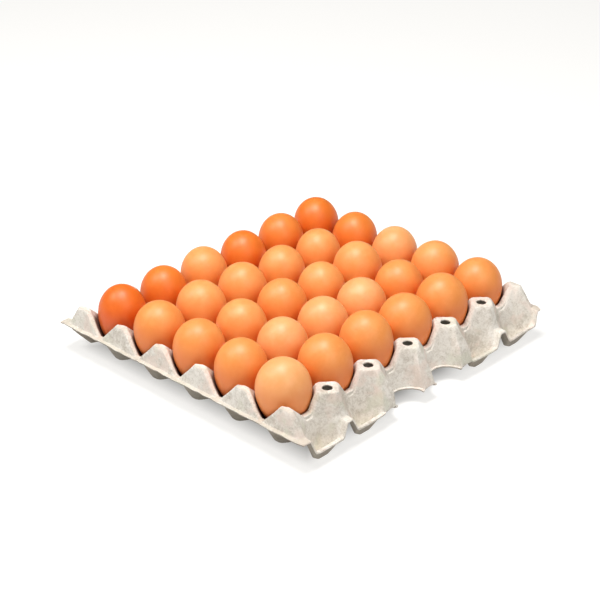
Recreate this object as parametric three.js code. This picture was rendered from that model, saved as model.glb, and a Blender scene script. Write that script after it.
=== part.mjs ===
// Thirty hen's eggs standing in an open moulded-pulp tray, five along X and six along Y.
// Millimetres, +Z up, the tray standing on z = 0 with its middle at the origin.
// The tray is one shell of even thickness: cups between tall hollow posts, low saddles between
// the cups, a straight flange along both Y sides and open half cups along both X sides.

import * as THREE from 'three';

// Driving sizes of the tray
const pitch = 48;
const columns = 5;
const rows = 6;
const wall = 1.8;
const postHeight = 45;
const postFaceDistance = 9.3;
const postCornerReach = 11;
const postHoleRadius = 4.5;
const saddleHeight = 31;
const saddleHalfWidth = 3.1;
const ribHalfWidth = 2.1;
const ribLean = 0.15;
const ledgeHeight = 28.2;
const ledgeHalfLength = 3.4;
const cupFloorRadius = 8.2;

// The flange along the Y sides and the half posts that stand on it
const flangeHeight = 27.5;
const flangeWidth = 6;
const flangeDroop = 0.6;
const flangeWallReach = 22.6;
const flangeWallHalfLength = 2.4;
const halfPostTopHalfWidth = 5.5;
const halfPostTopDepth = 6.5;
const halfPostShoulderHalfWidth = 7;
const halfPostShoulderDepth = 4;
const halfPostFootHalfWidth = 22;
const halfPostLean = 2.8;

// The empty half cups along the X sides
const halfCupFloorRadius = 12;
const pocketWallFoot = 7;
const pocketFootHalfLength = 4.8;
const pocketTurnAlong = 10.2;
const pocketTurnAcross = 6;
const lipHeight = 13.5;
const lipHalfLength = 15;
const lipInset = 1.5;
const lipReach = 2;
const scallopRadius = 17;
const scallopLip = 1.6;
const scallopLipFall = 0.3;
const rimReach = 1;

// The ridges that run out from the posts between the half cups, from the tray's middle to its
// corners: a steep slope, a blunt buttress and a level bridge
const ridgeForms = [
  { shoulder: 4, shoulderHeight: 25.5, tipHeight: 14.2, halfWidth: 6.5, fall: 0.6 },
  { shoulder: 1.8, shoulderHeight: 27.5, tipHeight: 14.2, halfWidth: 6, fall: 0.6 },
  { shoulder: 7.5, shoulderHeight: 25.5, tipHeight: 25, halfWidth: 3.5, fall: 0 },
];

// How the flange ends at the tray's corners: blunt at the +Y ones, where the half cup's side
// wall and lip reach further out, and drawn out to a tip at the -Y ones
const flangeEndFootHalfWidth = 16;
const bluntCorner = { wallReach: 22.8, lipLength: 20, flangeLength: 20, tipWidth: 1.2 };
const tippedCorner = { wallReach: 19.6, lipLength: 15, flangeLength: 16, tipWidth: 3 };

// Driving sizes of the eggs
const eggSides = 16;
const eggBands = 6;
const bluntShare = 0.435;
const seatGap = 0.4;
const largestTilt = 0.05;
const sizeSpread = 0.35;
const lengthSpread = 0.8;
const eggSizes = {
  s: { diameter: 42, length: 57.4 },
  m: { diameter: 43.8, length: 57.8 },
  l: { diameter: 45.4, length: 58.4 },
  t: { diameter: 45, length: 61 },
};
// One letter for each egg: a line is a row along X, and the first line is the -Y row
const eggRows = ['smmml', 'smmmt', 'smmmt', 'sssml', 'ssmml', 'sssmm'];

const cell = pitch / 2;
const halfX = columns * cell;
const halfY = rows * cell;
const cupRadius = cell - saddleHalfWidth;
const cupSlope = (cupRadius - cupFloorRadius) / (saddleHeight - wall);
const flatAngle = Math.PI / 16;
const plateauCut = cell - postFaceDistance * Math.SQRT2 + postCornerReach;
const plateauEnd = cell - postCornerReach;

// The corners of a post's flat top as seen from a cup, across and along the cup's side
const postCorner = [plateauCut, plateauEnd];
const halfPostBackCorner = [plateauCut, cell - halfPostTopDepth];
const halfPostShoulder = [cell - halfPostShoulderDepth, cell - halfPostShoulderHalfWidth];

// A cup's own axes: a runs from the cup's middle to one side, b along that side
function cupFrame(x, y, angle) {
  const c = Math.round(Math.cos(angle));
  const s = Math.round(Math.sin(angle));
  return (a, b, z) => new THREE.Vector3(x + a * c - b * s, y + a * s + b * c, z);
}

// A corner of the sixteen-sided ring that lies round a circle, counted from the side's middle
function ringPoint(frame, radius, corner, side, z) {
  const reach = radius / Math.cos(flatAngle);
  const angle = flatAngle * corner;
  return frame(reach * Math.cos(angle), side * reach * Math.sin(angle), z);
}

// The upper face of the shell as triangles that share their vertices
const points = [];
const triangles = [];
const pointNumbers = new Map();

function pointNumber(point) {
  const key = point.toArray().map((value) => Math.round(value * 1000)).join(' ');
  if (!pointNumbers.has(key)) {
    pointNumbers.set(key, points.length);
    points.push(point);
  }
  return pointNumbers.get(key);
}

// One polygon of the upper face, as a fan from its first corner, turned to look up
function face(...corners) {
  let area = 0;
  corners.forEach((p, k) => {
    const q = corners[(k + 1) % corners.length];
    area += p.x * q.y - q.x * p.y;
  });
  const turned = area > 0 ? corners : [corners[0], ...corners.slice(1).reverse()];
  const loop = turned.map(pointNumber);
  for (let k = 1; k < loop.length - 1; k += 1) {
    triangles.push([loop[0], loop[k], loop[k + 1]]);
  }
}

// The quarter of a post's flat top that belongs to one side of one cup
function postTop(frame, side, corner, edge, holed) {
  const inner = frame(corner[0], side * corner[1], postHeight);
  const rim = (angle) => frame(
    cell - postHoleRadius * Math.sin(angle),
    side * (cell - postHoleRadius * Math.cos(angle)),
    postHeight,
  );
  const middle = frame(cell, side * cell, postHeight);
  const end = holed ? [rim(0), rim(Math.PI / 4)] : [middle];
  face(inner, edge, ...end);
  return { inner, end: end[end.length - 1] };
}

// What closes a cup's corner: the broad face of the post and the tip of its top. The frame is
// flanged where its own side, and not the next one, carries the flange
function cornerFace(frame, side, holed, flanged, low) {
  const along = (a, b, z) => frame(a, side * b, z);
  const across = (a, b, z) => frame(b, side * a, z);
  const halfPostCorners = flanged
    ? [halfPostShoulder, halfPostBackCorner]
    : [halfPostBackCorner, halfPostShoulder];
  const [first, last] = holed ? [postCorner, postCorner] : halfPostCorners;
  const reach = cupRadius / Math.cos(flatAngle);
  const long = reach * Math.cos(3 * flatAngle);
  const short = reach * Math.sin(3 * flatAngle);
  const tip = holed ? cell - postHoleRadius * Math.SQRT1_2 : cell;
  face(
    along(long, short, saddleHeight),
    along(...first, postHeight),
    across(...last, postHeight),
    across(long, short, saddleHeight),
  );
  face(
    along(...first, postHeight),
    along(tip, tip, postHeight),
    across(...last, postHeight),
  );
  if (low) {
    face(along(long, short, saddleHeight), across(long, short, saddleHeight), ...low);
  }
}

// One side of a cup up to the saddle that it shares with the next cup. Over a half cup the
// saddle's top is a narrow rib that stands on a ledge
function saddleSide(frame, low, holed) {
  const saddleHalfLength = cupRadius * Math.tan(flatAngle);
  const [first, last] = [1, -1].map((side) => {
    const wallTurn = ringPoint(frame, cupRadius, 3, side, saddleHeight);
    const saddleEnd = frame(cell, side * saddleHalfLength, saddleHeight);
    const corner = holed[side] ? postCorner : halfPostBackCorner;
    const edge = frame(cell, side * corner[1], postHeight);
    const { inner } = postTop(frame, side, corner, edge, holed[side]);
    const foot = ringPoint(frame, low.radius, 1, side, low.z);
    const turn = low.turn ? low.turn(frame, side) : ringPoint(frame, low.radius, 3, side, low.z);
    let wallTop = ringPoint(frame, cupRadius, 1, side, saddleHeight);
    let saddleTop = wallTop;
    let ribFoot = null;
    if (low.ledgeRadius) {
      wallTop = frame(low.ledgeRadius, side * ledgeHalfLength, ledgeHeight);
      ribFoot = frame(cell - ribHalfWidth - ribLean, side * ledgeHalfLength, ledgeHeight);
      saddleTop = frame(cell - ribHalfWidth, side * saddleHalfLength, saddleHeight);
      face(ribFoot, saddleTop, inner);
      face(wallTop, ribFoot, inner);
    }
    face(saddleTop, saddleEnd, edge, inner);
    face(wallTop, inner, wallTurn);
    face(foot, turn, wallTurn, wallTop);
    return { wallTop, saddleTop, ribFoot, saddleEnd, foot };
  });
  face(last.saddleTop, last.saddleEnd, first.saddleEnd, first.saddleTop);
  face(last.foot, last.wallTop, first.wallTop, first.foot);
  if (low.ledgeRadius) {
    face(last.wallTop, last.ribFoot, first.ribFoot, first.wallTop);
    face(last.ribFoot, last.saddleTop, first.saddleTop, first.ribFoot);
  }
}

// The half of a flanged side towards one half post: rim, flat post front and flange
const flangeEdgeHeight = flangeHeight - flangeDroop;
const flangeFront = cell + halfPostLean;
const flangeEdge = cell + flangeWidth;

function halfPostFront(frame, side, footHalfWidth) {
  const edge = frame(cell, side * (cell - halfPostTopHalfWidth), postHeight);
  const { inner, end } = postTop(frame, side, halfPostShoulder, edge, false);
  const front = frame(flangeFront, side * (cell - footHalfWidth), flangeHeight);
  const frontMiddle = frame(flangeFront, side * cell, flangeHeight);
  face(front, edge, end, frontMiddle);
  return { edge, inner, front, frontMiddle };
}

function flangeHalf(frame, side, low) {
  const wallTop = frame(flangeWallReach, side * flangeWallHalfLength, flangeHeight);
  const wallTurn = ringPoint(frame, cupRadius, 3, side, saddleHeight);
  const { edge, inner, front, frontMiddle } = halfPostFront(frame, side, halfPostFootHalfWidth);
  const outer = frame(flangeEdge, side * (cell - halfPostFootHalfWidth), flangeEdgeHeight);
  const outerMiddle = frame(flangeEdge, side * cell, flangeEdgeHeight);
  const foot = ringPoint(frame, low.radius, 1, side, low.z);
  const turn = ringPoint(frame, low.radius, 3, side, low.z);
  face(wallTop, inner, wallTurn);
  face(wallTop, front, edge, inner);
  face(foot, turn, wallTurn, wallTop);
  face(front, frontMiddle, outerMiddle, outer);
  return { wallTop, front, outer, foot };
}

function flangeSide(frame, low) {
  const [first, last] = [1, -1].map((side) => flangeHalf(frame, side, low));
  face(last.wallTop, last.front, first.front, first.wallTop);
  face(last.front, last.outer, first.outer, first.front);
  face(last.foot, last.wallTop, first.wallTop, first.foot);
}

const cupLow = { radius: cupFloorRadius, z: wall };

// A whole cup, with a flange on the side that looks out of the tray along Y
function cup(column, row) {
  const x = (column - (columns - 1) / 2) * pitch;
  const y = (row - (rows - 1) / 2) * pitch;
  const floor = [];
  for (let quarter = 0; quarter < 4; quarter += 1) {
    const frame = cupFrame(x, y, quarter * Math.PI / 2);
    const outward = (quarter === 1 && row === rows - 1) || (quarter === 3 && row === 0);
    const cornerHoled = (side) => {
      const corner = frame(cell, side * cell, 0);
      return Math.abs(corner.y) < halfY - 1;
    };
    if (outward) {
      flangeSide(frame, cupLow);
    } else {
      saddleSide(frame, cupLow, { 1: cornerHoled(1), [-1]: cornerHoled(-1) });
    }
    const low = [1, 0].map((turned) => ringPoint(frame, cupFloorRadius, turned ? 5 : 3, 1, wall));
    cornerFace(frame, 1, cornerHoled(1), outward, low);
    [-3, -1, 1, 3].forEach((corner) => {
      floor.push(ringPoint(frame, cupFloorRadius, Math.abs(corner), Math.sign(corner), wall));
    });
  }
  face(...floor);
}

// The half cups that open out of the tray's X sides, written in the frame that looks back to
// the tray; their two ridges lie along the frames turned a quarter from it
const ledgeShare = (z) => (saddleHeight - ledgeHeight) / (saddleHeight - z);
const pocketLow = {
  radius: halfCupFloorRadius,
  z: wall,
  ledgeRadius: cupRadius - (cupRadius - halfCupFloorRadius) * ledgeShare(wall),
  turn: (frame, side) => frame(pocketTurnAlong, side * pocketTurnAcross, wall),
};
const scallopLow = {
  radius: scallopRadius,
  z: lipHeight,
  ledgeRadius: cupRadius - (cupRadius - scallopRadius) * ledgeShare(lipHeight),
};

// The narrow lip that turns in along a scallop's lower edge
function scallopEdge(back) {
  const ring = (radius, z) => {
    const end = (side) => back(-rimReach, side * radius, z);
    const turns = [7, 5, 3, 1].map((corner) => ringPoint(back, radius, corner, -1, z));
    const returns = [1, 3, 5, 7].map((corner) => ringPoint(back, radius, corner, 1, z));
    return [end(-1), ...turns, ...returns, end(1)];
  };
  const outer = ring(scallopRadius, lipHeight);
  const inner = ring(scallopRadius - scallopLip, lipHeight - scallopLipFall);
  for (let k = 1; k < outer.length; k += 1) {
    face(outer[k - 1], outer[k], inner[k], inner[k - 1]);
  }
}

function halfCup(outSide, row) {
  const x = outSide * (halfX + cell);
  const y = (row - (rows - 1) / 2) * pitch;
  const back = cupFrame(x, y, outSide > 0 ? Math.PI : 0);
  const scalloped = row === rows / 2 - 1 || row === rows / 2;
  const low = scalloped ? scallopLow : pocketLow;
  const holed = (side) => Math.abs(back(cell, side * cell, 0).y) < halfY - 1;
  saddleSide(back, low, { 1: holed(1), [-1]: holed(-1) });
  const ends = [1, -1].map((side) => {
    // The same axes turned so that a runs to the ridge and b back to the post
    const ridge = (a, b, z) => back(b, side * a, z);
    const ridgeY = Math.abs(back(0, side * cell, 0).y);
    const ridgeLine = Math.round(ridgeY / pitch);
    const turn = low.turn
      ? low.turn(back, side)
      : ringPoint(ridge, low.radius, 3, 1, low.z);
    const corner = low.turn ? [turn] : [turn, ringPoint(back, low.radius, 3, side, low.z)];
    cornerFace(back, side, holed(side), false, corner);
    const wallTurn = ringPoint(ridge, cupRadius, 3, 1, saddleHeight);
    if (ridgeLine === rows / 2) {
      return flangeEnd(ridge, wallTurn, turn, y > 0 ? bluntCorner : tippedCorner);
    }
    return ridgeEnd(ridge, wallTurn, turn, ridgeForms[ridgeLine], scalloped);
  });
  if (scalloped) {
    scallopEdge(back);
  } else {
    const [first, last] = ends;
    face(last.foot, last.lip, first.lip, first.foot);
    face(last.lip, last.lipEdge, first.lipEdge, first.lip);
    const floor = [first, last].map((end, k) => {
      const side = k === 0 ? 1 : -1;
      return [end.foot, low.turn(back, side), ringPoint(back, low.radius, 1, side, wall)];
    });
    face(...floor[0], ...floor[1].reverse());
  }
}

// A half cup's wall up to a ridge that runs out from a post, and the ridge's own half
function ridgeEnd(ridge, wallTurn, turn, form, scalloped) {
  const crest = ridge(cell, form.shoulder, form.shoulderHeight);
  const tip = ridge(cell, -rimReach, form.tipHeight);
  const side = ridge(cell - form.halfWidth, form.shoulder, form.shoulderHeight - form.fall);
  const sideTip = ridge(cell - form.halfWidth, -rimReach, form.tipHeight - form.fall);
  const edge = ridge(cell, plateauEnd, postHeight);
  const { inner } = postTop(ridge, 1, postCorner, edge, true);
  face(inner, edge, crest, side);
  face(side, crest, tip, sideTip);
  face(wallTurn, inner, side);
  if (scalloped) {
    const lip = ringPoint(ridge, scallopRadius, 1, 1, lipHeight);
    const lipEnd = ridge(scallopRadius, -rimReach, lipHeight);
    face(turn, lip, side, wallTurn);
    face(lip, lipEnd, sideTip, side);
    return {};
  }
  return pocketEnd(ridge, wallTurn, turn, lipHalfLength, [side, sideTip]);
}

// The pocket's end towards the tray's corner, where the flange closes it
function flangeEnd(ridge, wallTurn, turn, form) {
  const halfPost = halfPostFront(ridge, 1, flangeEndFootHalfWidth);
  const { edge, inner, front, frontMiddle } = halfPost;
  const outer = ridge(flangeEdge, cell - form.flangeLength, flangeEdgeHeight);
  const outerMiddle = ridge(flangeEdge, cell, flangeEdgeHeight);
  const frontTip = ridge(flangeFront, -rimReach, flangeEdgeHeight);
  const outerTip = ridge(flangeFront + form.tipWidth, -rimReach, flangeEdgeHeight);
  const side = ridge(form.wallReach, flangeWidth, flangeHeight);
  const sideTip = ridge(form.wallReach, -rimReach, flangeEdgeHeight);
  face(front, frontMiddle, outerMiddle, outer);
  face(side, inner, edge, front);
  face(side, front, frontTip, sideTip);
  face(front, outer, outerTip, frontTip);
  face(wallTurn, inner, side);
  return pocketEnd(ridge, wallTurn, turn, form.lipLength, [side, sideTip]);
}

// The pocket's wall from its ridge or flange down to the lip and the floor
function pocketEnd(ridge, wallTurn, turn, lipLength, [side, sideTip]) {
  const foot = ridge(pocketFootHalfLength, pocketWallFoot, wall);
  const lip = ridge(lipLength, lipInset, lipHeight);
  const lipEdge = ridge(lipLength, -lipReach, lipHeight);
  face(turn, wallTurn, lip);
  face(turn, lip, foot);
  face(wallTurn, side, lip);
  face(lip, side, sideTip, lipEdge);
  return { foot, lip, lipEdge };
}

// Moves every point of the upper face by the wall's thickness off all its faces at once; the
// softening keeps a point whose faces are nearly one plane from sliding along it
const softening = 0.02;

function lowerPoints() {
  const sums = points.map(() => ({ matrix: new Array(9).fill(0), normal: new THREE.Vector3() }));
  triangles.forEach((triangle) => {
    const [p, q, r] = triangle.map((number) => points[number]);
    const normal = q.clone().sub(p).cross(r.clone().sub(p)).normalize();
    const n = normal.toArray();
    triangle.forEach((number) => {
      for (let k = 0; k < 9; k += 1) {
        sums[number].matrix[k] += n[Math.floor(k / 3)] * n[k % 3];
      }
      sums[number].normal.add(normal);
    });
  });
  return points.map((point, number) => {
    const { matrix, normal } = sums[number];
    [0, 4, 8].forEach((k) => {
      matrix[k] += softening;
    });
    const solver = new THREE.Matrix3().set(...matrix).invert();
    const lower = point.clone().sub(normal.clone().applyMatrix3(solver).multiplyScalar(wall));
    if (Math.abs(point.z - wall) < 0.01) {
      lower.z = 0;
    }
    return lower;
  });
}

// Closes the shell: upper face, lower face and the cut edge round the rim and the holes
function trayGeometry() {
  for (let column = 0; column < columns; column += 1) {
    for (let row = 0; row < rows; row += 1) {
      cup(column, row);
    }
  }
  [1, -1].forEach((outSide) => {
    for (let row = 0; row < rows; row += 1) {
      halfCup(outSide, row);
    }
  });
  const count = points.length;
  const index = [];
  const edges = new Set();
  triangles.forEach(([p, q, r]) => {
    index.push(p, q, r, count + p, count + r, count + q);
    [[p, q], [q, r], [r, p]].forEach(([from, to]) => edges.add(`${from} ${to}`));
  });
  edges.forEach((edge) => {
    const [from, to] = edge.split(' ').map(Number);
    if (!edges.has(`${to} ${from}`)) {
      index.push(from, count + from, to, to, count + from, count + to);
    }
  });
  const positions = [...points, ...lowerPoints()].flatMap((point) => point.toArray());
  const geometry = new THREE.BufferGeometry();
  geometry.setAttribute('position', new THREE.Float32BufferAttribute(positions, 3));
  geometry.setIndex(index);
  geometry.computeVertexNormals();
  return geometry;
}

// An egg as a turned shape, blunt end up, its widest circle at the origin
function eggGeometry(radius, bluntHeight, pointedHeight) {
  const profile = [];
  for (let band = 0; band <= eggBands; band += 1) {
    const angle = Math.PI * (band / eggBands - 0.5);
    const height = Math.sin(angle) * (angle > 0 ? bluntHeight : pointedHeight);
    const reach = band % eggBands === 0 ? 0 : radius * Math.cos(angle);
    profile.push(new THREE.Vector2(reach, height));
  }
  return new THREE.LatheGeometry(profile, eggSides).rotateX(Math.PI / 2);
}

// A small repeatable draw between -1 and 1
let drawState = 20;
function draw() {
  drawState = (drawState * 16807) % 2147483647;
  return (drawState / 2147483647) * 2 - 1;
}

// An egg rests where its pointed end meets the cup's cone, and leans about the point on the
// cup's axis that its seat ring looks at, so that a lean slides it along the cone
const coneTip = wall - cupFloorRadius / cupSlope;
const coneSine = cupSlope / Math.hypot(1, cupSlope);

function egg(column, row, shellMaterial) {
  const { diameter, length } = eggSizes[eggRows[row][column]];
  const radius = (diameter + draw() * sizeSpread) / 2;
  const eggLength = length + draw() * lengthSpread;
  const pointedHeight = eggLength * (1 - bluntShare);
  const reach = Math.hypot(pointedHeight, radius / cupSlope);
  const middle = coneTip + reach + seatGap / coneSine;
  const seatDrop = pointedHeight ** 2 / reach;
  const seatRadius = radius * Math.sqrt(1 - (seatDrop / pointedHeight) ** 2);
  const pivotHeight = middle - seatDrop + seatRadius * cupSlope;
  const mesh = new THREE.Mesh(
    eggGeometry(radius, eggLength * bluntShare, pointedHeight),
    shellMaterial,
  );
  mesh.name = `egg_${row + 1}_${column + 1}`;
  mesh.position.z = middle - pivotHeight;
  const pivot = new THREE.Group();
  pivot.position.set(
    (column - (columns - 1) / 2) * pitch,
    (row - (rows - 1) / 2) * pitch,
    pivotHeight,
  );
  pivot.rotation.set(draw() * largestTilt, draw() * largestTilt, 0);
  pivot.add(mesh);
  return pivot;
}

const pulp = new THREE.MeshStandardMaterial({ color: 0xd9d2c5, roughness: 0.95, metalness: 0 });
const brownShell = new THREE.MeshStandardMaterial({ color: 0xe8965a, roughness: 0.5, metalness: 0 });

const tray = new THREE.Mesh(trayGeometry(), pulp);
tray.name = 'pulp_tray';

const filledTray = new THREE.Group();
filledTray.name = 'tray_of_eggs';
filledTray.add(tray);
for (let row = 0; row < rows; row += 1) {
  for (let column = 0; column < columns; column += 1) {
    filledTray.add(egg(column, row, brownShell));
  }
}

export default filledTray;
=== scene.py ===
import math

import bmesh
import bpy
from mathutils import Matrix, Vector, noise


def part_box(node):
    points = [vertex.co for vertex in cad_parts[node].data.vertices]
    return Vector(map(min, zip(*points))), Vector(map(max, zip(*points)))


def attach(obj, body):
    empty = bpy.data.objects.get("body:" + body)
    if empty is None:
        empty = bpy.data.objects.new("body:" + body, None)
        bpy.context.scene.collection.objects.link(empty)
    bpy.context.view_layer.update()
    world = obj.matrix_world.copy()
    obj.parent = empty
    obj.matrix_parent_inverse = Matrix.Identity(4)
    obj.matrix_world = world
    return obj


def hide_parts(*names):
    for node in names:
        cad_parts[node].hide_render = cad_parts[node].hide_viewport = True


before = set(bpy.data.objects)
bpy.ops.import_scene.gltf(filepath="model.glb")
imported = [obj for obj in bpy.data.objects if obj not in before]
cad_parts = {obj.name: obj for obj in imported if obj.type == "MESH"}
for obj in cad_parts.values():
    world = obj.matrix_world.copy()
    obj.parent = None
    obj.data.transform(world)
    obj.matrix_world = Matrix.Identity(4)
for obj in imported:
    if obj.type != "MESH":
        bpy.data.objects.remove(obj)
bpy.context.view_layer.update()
mm = 0.001

# Shader maths

cloudSpan = (0.3, 0.7)  # nearly all of a noise cloud lies between these


class Sock:  # a shader socket that works in plain sums
    def __init__(self, shader, socket):
        self.shader = shader
        self.socket = socket

    def calc(self, operation, first, second):
        return self.shader.node("ShaderNodeMath", {"operation": operation}, {0: first, 1: second})

    def __add__(self, other):
        return self.calc("ADD", self, other)

    def __radd__(self, other):
        return self.calc("ADD", other, self)

    def __sub__(self, other):
        return self.calc("SUBTRACT", self, other)

    def __rsub__(self, other):
        return self.calc("SUBTRACT", other, self)

    def __mul__(self, other):
        return self.calc("MULTIPLY", self, other)

    def __rmul__(self, other):
        return self.calc("MULTIPLY", other, self)


class Shader:
    def __init__(self, name):
        self.material = bpy.data.materials.new(name)
        self.material.use_nodes = True
        self.tree = self.material.node_tree
        self.tree.nodes.clear()

    def node(self, kind, settings=None, inputs=None, output=0):
        made = self.tree.nodes.new(kind)
        for name, value in (settings or {}).items():
            setattr(made, name, value)
        for name, value in (inputs or {}).items():
            if isinstance(value, Sock):
                self.tree.links.new(value.socket, made.inputs[name])
            elif isinstance(value, tuple) and len(value) == 3 and made.inputs[name].type == "RGBA":
                made.inputs[name].default_value = (*value, 1)
            else:
                made.inputs[name].default_value = value
        return Sock(self, made.outputs[output])

    def place(self):  # object coordinates, in metres
        return self.node("ShaderNodeTexCoord", output=3)

    def part(self, vector, axis):
        return self.node("ShaderNodeSeparateXYZ", None, {0: vector}, output=axis)

    def outward(self, vector, axis):  # how far a place is from the middle along one axis
        return self.node("ShaderNodeMath", {"operation": "ABSOLUTE"}, {0: self.part(vector, axis)})

    def cloud(self, size, detail=2, rough=0.5, distort=0.0, stretch=(1, 1, 1)):
        point = self.place()
        if stretch != (1, 1, 1):
            point = self.node("ShaderNodeMapping", None, {0: point, "Scale": stretch})
        return self.node("ShaderNodeTexNoise", None, {
            "Vector": point,
            "Scale": 1 / size,
            "Detail": detail,
            "Roughness": rough,
            "Distortion": distort,
        })

    def blend(self, share, first, second):
        return self.node("ShaderNodeMix", {"data_type": "RGBA"}, {0: share, 6: first, 7: second}, output=2)

    def between(self, value, low, high, toLow=0.0, toHigh=1.0):
        return self.node("ShaderNodeMapRange", {"clamp": True, "interpolation_type": "SMOOTHSTEP"}, {
            "Value": value, "From Min": low, "From Max": high, "To Min": toLow, "To Max": toHigh})

    def bump(self, height, depth, strength, under=None):
        inputs = {"Height": height, "Distance": depth, "Strength": strength}
        if under is not None:
            inputs["Normal"] = under
        return self.node("ShaderNodeBump", None, inputs)

    def finish(self, **inputs):
        names = {
            "colour": "Base Color",
            "roughness": "Roughness",
            "normal": "Normal",
            "gloss": "Specular IOR Level",
            "soft": "Subsurface Weight",
            "softDepth": "Subsurface Scale",
            "softReach": "Subsurface Radius",
            "glow": "Emission Color",
            "glowStrength": "Emission Strength",
        }
        sockets = {names[key]: value for key, value in inputs.items()}
        surface = self.node("ShaderNodeBsdfPrincipled", None, sockets)
        output = self.tree.nodes.new("ShaderNodeOutputMaterial")
        self.tree.links.new(surface.socket, output.inputs["Surface"])
        return self.material


# Small helpers

def selectOnly(piece):
    bpy.ops.object.select_all(action="DESELECT")
    piece.select_set(True)
    bpy.context.view_layer.objects.active = piece


def pickVerts(piece, test):  # edit mode selection by place
    bpy.ops.mesh.select_all(action="DESELECT")
    shape = bmesh.from_edit_mesh(piece.data)
    for vert in shape.verts:
        vert.select = test(vert.co)
    shape.select_flush_mode()
    bmesh.update_edit_mesh(piece.data)


def applyModifiers(piece):
    selectOnly(piece)
    for modifier in list(piece.modifiers):
        bpy.ops.object.modifier_apply(modifier=modifier.name)


def dress(piece, material):
    piece.data.materials.clear()
    piece.data.materials.append(material)


def copyOf(piece, name):  # a copy with its own mesh, riding on nothing
    made = piece.copy()
    made.data = piece.data.copy()
    made.name = name
    made.data.name = name
    made.parent = None
    made.matrix_world = Matrix()
    bpy.context.scene.collection.objects.link(made)
    return made


# Pulp: warm light grey paper fibre, mottled, with painted shade darkening its underside

pulp = {
    "light": (0.855, 0.815, 0.75),
    "dark": (0.56, 0.505, 0.43),
    "toneRange": (0.36, 0.60),
    "broadSize": 38 * mm,
    "broadShare": 0.25,
    "patchSize": 6 * mm,
    "patchShare": 0.4,
    "grainSize": 1.7 * mm,
    "grainShare": 0.35,
    "pinkish": (0.80, 0.67, 0.59),
    "pinkishSize": 17 * mm,
    "pinkishRange": (0.50, 0.66),
    "pinkishShare": 0.6,
    "greenish": (0.67, 0.67, 0.54),
    "greenishSize": 23 * mm,
    "greenishRange": (0.52, 0.68),
    "greenishShare": 0.5,
    "fibre": (0.90, 0.87, 0.81),
    "fibreSize": 1.6 * mm,
    "fibreStretch": (1.0, 0.45, 1.0),
    "fibreRange": (0.57, 0.70),
    "fibreShare": 0.6,
    "fleck": (0.40, 0.34, 0.27),
    "fleckSize": 1.1 * mm,
    "fleckRange": (0.69, 0.76),
    "fleckShare": 0.55,
    # painted shade: the pulp darkens on its downward faces
    "under": (0.16, 0.13, 0.095),
    "underRange": (0.05, -0.35),
    "underShare": 0.76,
    # painted shade for the upward faces of the long flanges, tinted warm like egg bounce light
    "rim": (0.55, 0.49, 0.40),
    "rimStart": 138 * mm,
    "rimFull": 144 * mm,
    "rimShadeShare": 0.6,
    "rimShadeLevel": (0.7, 0.95),
    "lumpSize": 4.5 * mm,
    "lumpDepth": 1.0 * mm,
    "patchLump": 0.6,
    "smallLump": 0.4,
    "fibreDepth": 0.5 * mm,
    "fibreRelief": 0.5,
    "grainRelief": 0.5,
    "bumpStrength": 0.8,
    "roughness": (0.86, 0.97),
    "gloss": 0.18,
}

cup = {  # painted shade and painted egg-coloured bounce light on the pulp round each egg
    "colour": (0.12, 0.032, 0.012),
    "pitch": 48 * mm,
    "shadeStart": 25.0 * mm,
    "shadeFull": 22.5 * mm,
    "shadeTop": 43.5 * mm,
    "shadeFade": 4 * mm,
    "share": 0.88,
    "facing": 0.15,
    "lastX": 118.3 * mm,
    "lastY": 143.5 * mm,
    "edgeFade": 1.6 * mm,
}


def paintedCupShade(s):  # painted shade mask: the inside of a cup, up to just below its rim
    spot = s.place()
    half = cup["pitch"] / 2
    along = s.node("ShaderNodeMath", {"operation": "PINGPONG"}, {0: s.part(spot, 0), 1: half})
    across = s.node("ShaderNodeMath", {"operation": "PINGPONG"}, {0: s.part(spot, 1) + half, 1: half})
    reach = s.node("ShaderNodeMath", {"operation": "SQRT"}, {0: along * along + across * across})
    inCup = s.between(reach, cup["shadeStart"], cup["shadeFull"], 0, cup["share"])
    below = s.between(s.part(spot, 2), cup["shadeTop"], cup["shadeTop"] - cup["shadeFade"])
    insideX = s.between(s.outward(spot, 0), cup["lastX"], cup["lastX"] - cup["edgeFade"])
    insideY = s.between(s.outward(spot, 1), cup["lastY"], cup["lastY"] - cup["edgeFade"])
    return inCup * below * insideX * insideY


def tinted(s, colour, tint, pattern):  # lays a tint of the pulp over the rest where its pattern is strong
    low, high = pulp[tint + "Range"]
    return s.blend(s.between(pattern, low, high, 0, pulp[tint + "Share"]), colour, pulp[tint])


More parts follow.
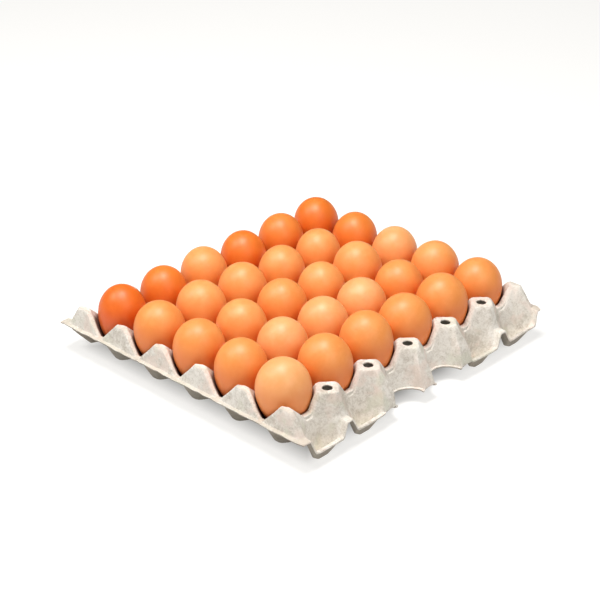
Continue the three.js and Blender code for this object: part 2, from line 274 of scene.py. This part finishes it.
def pulpMaterial():
    s = Shader("mouldedPulp")
    broad = s.cloud(pulp["broadSize"])
    patch = s.cloud(pulp["patchSize"], detail=4, rough=0.65, distort=0.5)
    grain = s.cloud(pulp["grainSize"], detail=4, rough=0.7)
    fibre = s.cloud(pulp["fibreSize"], detail=3, rough=0.7, distort=1.4, stretch=pulp["fibreStretch"])
    facing = s.part(s.node("ShaderNodeNewGeometry", output=1), 2)
    mottle = broad * pulp["broadShare"] + patch * pulp["patchShare"] + grain * pulp["grainShare"]
    colour = s.blend(s.between(mottle, *pulp["toneRange"]), pulp["dark"], pulp["light"])
    colour = tinted(s, colour, "pinkish", s.cloud(pulp["pinkishSize"], distort=0.4))
    colour = tinted(s, colour, "greenish", s.cloud(pulp["greenishSize"], distort=0.6))
    colour = tinted(s, colour, "fibre", fibre)
    colour = tinted(s, colour, "fleck", s.cloud(pulp["fleckSize"], detail=1, rough=0.4))
    # painted shade on the downward faces
    colour = tinted(s, colour, "under", facing)
    rimShadeBand = s.between(s.outward(s.place(), 1), pulp["rimStart"], pulp["rimFull"], 0, pulp["rimShadeShare"])
    level = s.between(facing, *pulp["rimShadeLevel"])
    colour = s.blend(rimShadeBand * level, colour, pulp["rim"])  # painted shade on the upward faces of the long flanges, tinted warm like light bounced from the eggs
    # painted shade and egg-coloured bounce light inside the cups
    colour = s.blend(paintedCupShade(s) * s.between(facing, 0, cup["facing"]), colour, cup["colour"])
    lumps = patch * pulp["patchLump"] + s.cloud(pulp["lumpSize"]) * pulp["smallLump"]
    relief = fibre * pulp["fibreRelief"] + grain * pulp["grainRelief"]
    coarse = s.bump(lumps, pulp["lumpDepth"], pulp["bumpStrength"])
    fine = s.bump(relief, pulp["fibreDepth"], pulp["bumpStrength"], coarse)
    rough = s.between(grain, *cloudSpan, *pulp["roughness"])
    return s.finish(colour=colour, roughness=rough, normal=fine, gloss=pulp["gloss"])


# Tray: the shell of the model with its edges rounded and its rim left as uneven as wet pulp

tray = {
    "weld": 0.02 * mm,
    "flatJoin": 12,  # degrees, as in the next two
    "squareJoin": 70,
    "sharpEdge": 26,
    "rounding": 0.42 * mm,
    "smoothing": 1,  # levels
    "flatness": 60,  # how far the large faces rule the shading at their edges
    "wobble": 0.28 * mm,
    "wobbleSize": 11 * mm,
    "wobbleSeed": 3,
    "rimWobble": 1.1 * mm,
    "rimWobbleSize": 14 * mm,
    "rimStart": 134 * mm,
    "rimTop": 24 * mm,
    "flangeWobble": 1.0 * mm,
    "flangeWobbleSize": 7 * mm,
    "flangeStart": 144.5 * mm,
    "flangeRise": 0.7,
    "flangeShift": (7, 0, 0),
    "footHeight": 1.5 * mm,
}


def trayPiece(material):
    piece = copyOf(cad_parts["pulp_tray"], "trayShell")
    selectOnly(piece)
    bpy.ops.object.mode_set(mode="EDIT")
    bpy.ops.mesh.select_all(action="SELECT")
    bpy.ops.mesh.remove_doubles(threshold=tray["weld"])
    bpy.ops.mesh.tris_convert_to_quads(face_threshold=math.radians(tray["flatJoin"]),
                                       shape_threshold=math.radians(tray["squareJoin"]))
    bpy.ops.mesh.select_all(action="DESELECT")
    bpy.ops.mesh.edges_select_sharp(sharpness=math.radians(tray["sharpEdge"]))
    bpy.ops.mesh.bevel(offset=tray["rounding"], segments=1, profile=0.5, clamp_overlap=True)
    bpy.ops.mesh.select_all(action="DESELECT")
    bpy.ops.object.mode_set(mode="OBJECT")
    print("tray faces before smoothing", len(piece.data.polygons))
    smooth = piece.modifiers.new("smooth", "SUBSURF")
    smooth.levels = tray["smoothing"]
    smooth.render_levels = tray["smoothing"]
    applyModifiers(piece)
    wobbleTray(piece)
    bpy.ops.object.shade_smooth()
    crisp = piece.modifiers.new("crisp", "WEIGHTED_NORMAL")  # keeps the pressed faces flat to their edges
    crisp.weight = tray["flatness"]
    applyModifiers(piece)
    dress(piece, material)
    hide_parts("pulp_tray")
    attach(piece, "root")
    print("tray triangles", sum(len(face.vertices) - 2 for face in piece.data.polygons))
    return piece


def wobbleTray(piece):  # pulp is never quite straight, and least so along its open rims
    low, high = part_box("pulp_tray")
    noise.seed_set(tray["wobbleSeed"])  # noise_vector takes new offsets each run without it
    for vert in piece.data.vertices:
        spot = vert.co
        drift = noise.noise_vector(spot / tray["wobbleSize"]) * tray["wobble"]
        out = min(1, max(0, (abs(spot.x) - tray["rimStart"]) / (high.x - tray["rimStart"])))
        down = 1 if spot.z < tray["rimTop"] else 0
        drift.z += noise.noise(spot / tray["rimWobbleSize"]) * tray["rimWobble"] * out * down
        side = min(1, max(0, (abs(spot.y) - tray["flangeStart"]) / (high.y - tray["flangeStart"])))
        ripple = tray["flangeWobble"] * side
        drift.y -= math.copysign(ripple, spot.y) * (0.5 + noise.noise(spot / tray["flangeWobbleSize"]))
        lift = noise.noise(spot / tray["flangeWobbleSize"] + Vector(tray["flangeShift"]))
        drift.z += lift * ripple * tray["flangeRise"]
        moved = spot + drift
        if spot.z < tray["footHeight"]:  # the cups' feet stay flat on the table
            moved.z = spot.z
        vert.co = Vector((min(high.x, max(low.x, moved.x)), min(high.y, max(low.y, moved.y)),
                          min(high.z, max(low.z, moved.z))))


# Eggs: one fine egg, shaped once and copied into each cup at that egg's own size and lean

egg = {
    "radius": 22 * mm,
    "sides": 64,
    "rings": 44,
    "blunt": 25 * mm,
    "pointed": 33 * mm,
    "bluntShare": 0.435,
    "middleGap": 0.01 * mm,
    "lump": 0.25 * mm,
    "lumpSize": 26 * mm,
    "lumpStep": (0.37, 0.61, 0.23),
}

# One letter for each egg, a line for each row along X, the first line nearest the camera's left
eggTones = [
    "dmmmy",
    "rppym",
    "ppmym",
    "rppym",
    "oppmm",
    "roypm",
]

shell = {
    "d": {"low": (0.76, 0.145, 0.010), "high": (0.83, 0.18, 0.016)},  # deep russet
    "r": {"low": (0.79, 0.185, 0.018), "high": (0.86, 0.225, 0.029)},  # russet
    "o": {"low": (0.82, 0.22, 0.031), "high": (0.88, 0.265, 0.047)},  # orange brown
    "m": {"low": (0.86, 0.295, 0.068), "high": (0.91, 0.345, 0.096)},  # middling brown
    "p": {"low": (0.88, 0.335, 0.09), "high": (0.93, 0.395, 0.126)},  # pale brown
    "y": {"low": (0.89, 0.39, 0.135), "high": (0.94, 0.455, 0.185)},  # yellowish, the palest
}

shellFinish = {
    "mottleSize": 15 * mm,
    "mottleShare": 0.75,
    "freckleSize": 2.4 * mm,
    "freckleShare": 0.25,
    "toneRange": (0.34, 0.68),
    "paleAbove": 64 * mm,
    "deepBelow": 42 * mm,
    "deepShare": 0.8,
    "shadeLeft": (1.04, 0.72, 0.48),  # painted shade: how much of each colour is left at the most shaded, lowest part of a shell
    "lowPink": (0.86, 0.24, 0.085),  # a pinkish brown tone blended in low on a shell
    "lowPinkBelow": 26 * mm,
    "lowPinkShare": 0.6,
    "poreSize": 0.9 * mm,
    "poreDepth": 0.05 * mm,
    "poreStrength": 0.25,
    "waveSize": 9 * mm,
    "waveDepth": 0.2 * mm,
    "waveStrength": 0.15,
    "roughness": (0.42, 0.50),
    "gloss": 0.55,
    "soft": 0.12,
    "softDepth": 3 * mm,
    "softReach": (1.0, 0.35, 0.12),
}


def shellMaterial(tone):
    s = Shader("eggshell_" + tone)
    look = shellFinish
    mottle = s.cloud(look["mottleSize"], detail=3, rough=0.55, distort=0.5)
    freckle = s.cloud(look["freckleSize"], detail=3, rough=0.6)
    share = s.between(mottle * look["mottleShare"] + freckle * look["freckleShare"], *look["toneRange"])
    colour = s.blend(share, shell[tone]["low"], shell[tone]["high"])
    height = s.part(s.place(), 2)
    deep = tuple(part * left for part, left in zip(shell[tone]["low"], look["shadeLeft"]))
    # painted shade: the shell darkens towards its bottom
    shadeMask = s.between(height, look["paleAbove"], look["deepBelow"], 0, look["deepShare"])
    colour = s.blend(shadeMask, colour, deep)
    lowPinkMask = s.between(height, look["deepBelow"], look["lowPinkBelow"], 0, look["lowPinkShare"])
    colour = s.blend(lowPinkMask, colour, look["lowPink"])
    pores = s.bump(s.cloud(look["poreSize"], rough=0.6), look["poreDepth"], look["poreStrength"])
    waves = s.bump(s.cloud(look["waveSize"]), look["waveDepth"], look["waveStrength"], pores)
    rough = s.between(freckle, *cloudSpan, *look["roughness"])
    return s.finish(colour=colour, roughness=rough, normal=waves, gloss=look["gloss"],
                    soft=look["soft"], softDepth=look["softDepth"], softReach=look["softReach"])


def firstEgg():
    bpy.ops.object.select_all(action="DESELECT")
    size = egg["radius"]
    bpy.ops.mesh.primitive_uv_sphere_add(segments=egg["sides"], ring_count=egg["rings"], radius=size)
    piece = bpy.context.active_object
    bpy.ops.object.mode_set(mode="EDIT")
    pickVerts(piece, lambda spot: spot.z > egg["middleGap"])
    bpy.ops.transform.resize(value=(1, 1, egg["blunt"] / size), center_override=(0, 0, 0))
    pickVerts(piece, lambda spot: spot.z < -egg["middleGap"])
    bpy.ops.transform.resize(value=(1, 1, egg["pointed"] / size), center_override=(0, 0, 0))
    bpy.ops.mesh.select_all(action="DESELECT")
    bpy.ops.object.mode_set(mode="OBJECT")
    bpy.ops.object.shade_smooth()
    return piece


def seatedEgg(pattern, node, material, number):  # fits the fine egg to the model's own egg
    spots = [vert.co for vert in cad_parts[node].data.vertices]
    foot = min(spots, key=lambda spot: spot.z)
    crown = max(spots, key=lambda spot: spot.z)
    axis = crown - foot
    length = axis.length
    axis.normalize()
    middle = foot + axis * length * (1 - egg["bluntShare"])
    radius = max((spot - middle).cross(axis).length for spot in spots)
    piece = copyOf(pattern, "shell" + node.replace("egg", ""))
    turn = Vector((0, 0, 1)).rotation_difference(axis).to_matrix().to_4x4()
    place = Matrix.Translation(middle) @ turn
    shift = Vector(egg["lumpStep"]) * number  # so that no two eggs are lumpy alike
    for vert in piece.data.vertices:
        spot = vert.co
        share = egg["bluntShare"] if spot.z > 0 else 1 - egg["bluntShare"]
        half = egg["blunt"] if spot.z > 0 else egg["pointed"]
        wide = radius / egg["radius"]
        sized = Vector((spot.x * wide, spot.y * wide, spot.z / half * length * share))
        lump = (noise.noise(spot / egg["lumpSize"] + shift) - 1) * 0.5 * egg["lump"]  # never outwards
        vert.co = place @ (sized * (1 + lump / radius))
    dress(piece, material)
    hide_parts(node)
    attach(piece, "root")
    return piece


# Floor, lights and camera

studio = {
    "floorSize": 36.0,
    "floorColour": (0.36, 0.36, 0.355),
    "floorPaler": 0.015,
    "floorMottle": 0.9,
    "floorRoughness": 0.7,
    "floorGloss": 0.2,
    "glowColour": (1.0, 0.99, 0.97),
    # painted light from the floor itself, dimmed to a painted shadow under the tray
    "floorGlow": 0.74,
    "underTray": 0.03,
    "glowStart": 100 * mm,
    "glowFull": 142 * mm,
    "worldColour": (1.0, 0.98, 0.95),
    "worldStrength": 0.11,
    "lightColour": (1.0, 0.985, 0.965),
}

lights = {
    "softTop": {"towards": (0.00, -0.12, 0.99), "distance": 1.25, "size": 0.55, "power": 16.2},
    "glint": {"towards": (-0.42, -0.50, 0.76), "distance": 1.3, "size": 0.32, "power": 5.0},
    "fillFront": {"towards": (0.74, -0.20, 0.64), "distance": 1.7, "size": 1.1, "power": 5.5},
}

shot = {
    "azimuth": 44.277,
    "elevation": 28.017,
    "roll": -0.809,
    "distance": 1.45485,
    "target": (0.003907, -0.005992, 0.045),
    "focalPixels": 1700.7,
    "framePixels": 600,
    "sensor": 36.0,
    "clip": 20,
}


def floorPiece():
    bpy.ops.object.select_all(action="DESELECT")
    bpy.ops.mesh.primitive_plane_add(size=studio["floorSize"], location=(0, 0, 0))
    piece = bpy.context.active_object
    piece.name = "floor"
    s = Shader("paleFloor")
    tone = s.between(s.cloud(studio["floorMottle"]), *cloudSpan)
    paler = tuple(part + studio["floorPaler"] for part in studio["floorColour"])
    colour = s.blend(tone, studio["floorColour"], paler)
    spot = s.place()
    reach = s.node("ShaderNodeMath", {"operation": "MAXIMUM"},
                   {0: s.outward(spot, 0), 1: s.outward(spot, 1)})
    paintedLightShare = s.between(reach, studio["glowStart"], studio["glowFull"], studio["underTray"], 1)
    glow = s.blend(paintedLightShare, (0, 0, 0), studio["glowColour"])  # painted light: the floor glows, dimmed to a painted shadow under the tray
    dress(piece, s.finish(colour=colour, roughness=studio["floorRoughness"], gloss=studio["floorGloss"],
                          glow=glow, glowStrength=studio["floorGlow"]))


def addLight(name, look):
    lamp = bpy.data.lights.new(name, "AREA")
    lamp.shape = "DISK"
    lamp.size = look["size"]
    lamp.energy = look["power"]
    lamp.color = studio["lightColour"]
    holder = bpy.data.objects.new(name, lamp)
    bpy.context.scene.collection.objects.link(holder)
    towards = Vector(look["towards"]).normalized()
    holder.location = towards * look["distance"] + Vector(shot["target"])
    holder.rotation_euler = towards.to_track_quat("Z", "Y").to_euler()


def worldLight():
    world = bpy.data.worlds.new("studio")
    world.use_nodes = True
    back = world.node_tree.nodes["Background"]
    back.inputs["Color"].default_value = (*studio["worldColour"], 1)
    back.inputs["Strength"].default_value = studio["worldStrength"]
    bpy.context.scene.world = world


def addCamera():
    azimuth = math.radians(shot["azimuth"])
    elevation = math.radians(shot["elevation"])
    roll = math.radians(shot["roll"])
    away = Vector((math.sin(azimuth), -math.cos(azimuth), 0))
    back = away * math.cos(elevation) + Vector((0, 0, math.sin(elevation)))
    level = Vector((math.cos(azimuth), math.sin(azimuth), 0))
    above = back.cross(level)
    right = level * math.cos(roll) + above * math.sin(roll)
    up = above * math.cos(roll) - level * math.sin(roll)
    lens = bpy.data.cameras.new("camera")
    lens.sensor_width = shot["sensor"]
    lens.lens = shot["focalPixels"] / shot["framePixels"] * shot["sensor"]
    lens.clip_end = shot["clip"]
    holder = bpy.data.objects.new("camera", lens)
    turn = Matrix((right, up, back)).transposed().to_4x4()
    holder.matrix_world = Matrix.Translation(Vector(shot["target"]) + back * shot["distance"]) @ turn
    bpy.context.scene.collection.objects.link(holder)
    bpy.context.scene.camera = holder


# Putting it together

trayPiece(pulpMaterial())
print("tray done")
shells = {tone: shellMaterial(tone) for tone in shell}
pattern = firstEgg()
for row, line in enumerate(eggTones):
    for column, tone in enumerate(line):
        seatedEgg(pattern, f"egg_{row + 1}_{column + 1}", shells[tone], row * len(line) + column)
bpy.data.objects.remove(pattern)
print("eggs done")
floorPiece()
for name, look in lights.items():
    addLight(name, look)
worldLight()
addCamera()
bpy.context.scene.view_settings.view_transform = "Standard"
print("studio done")
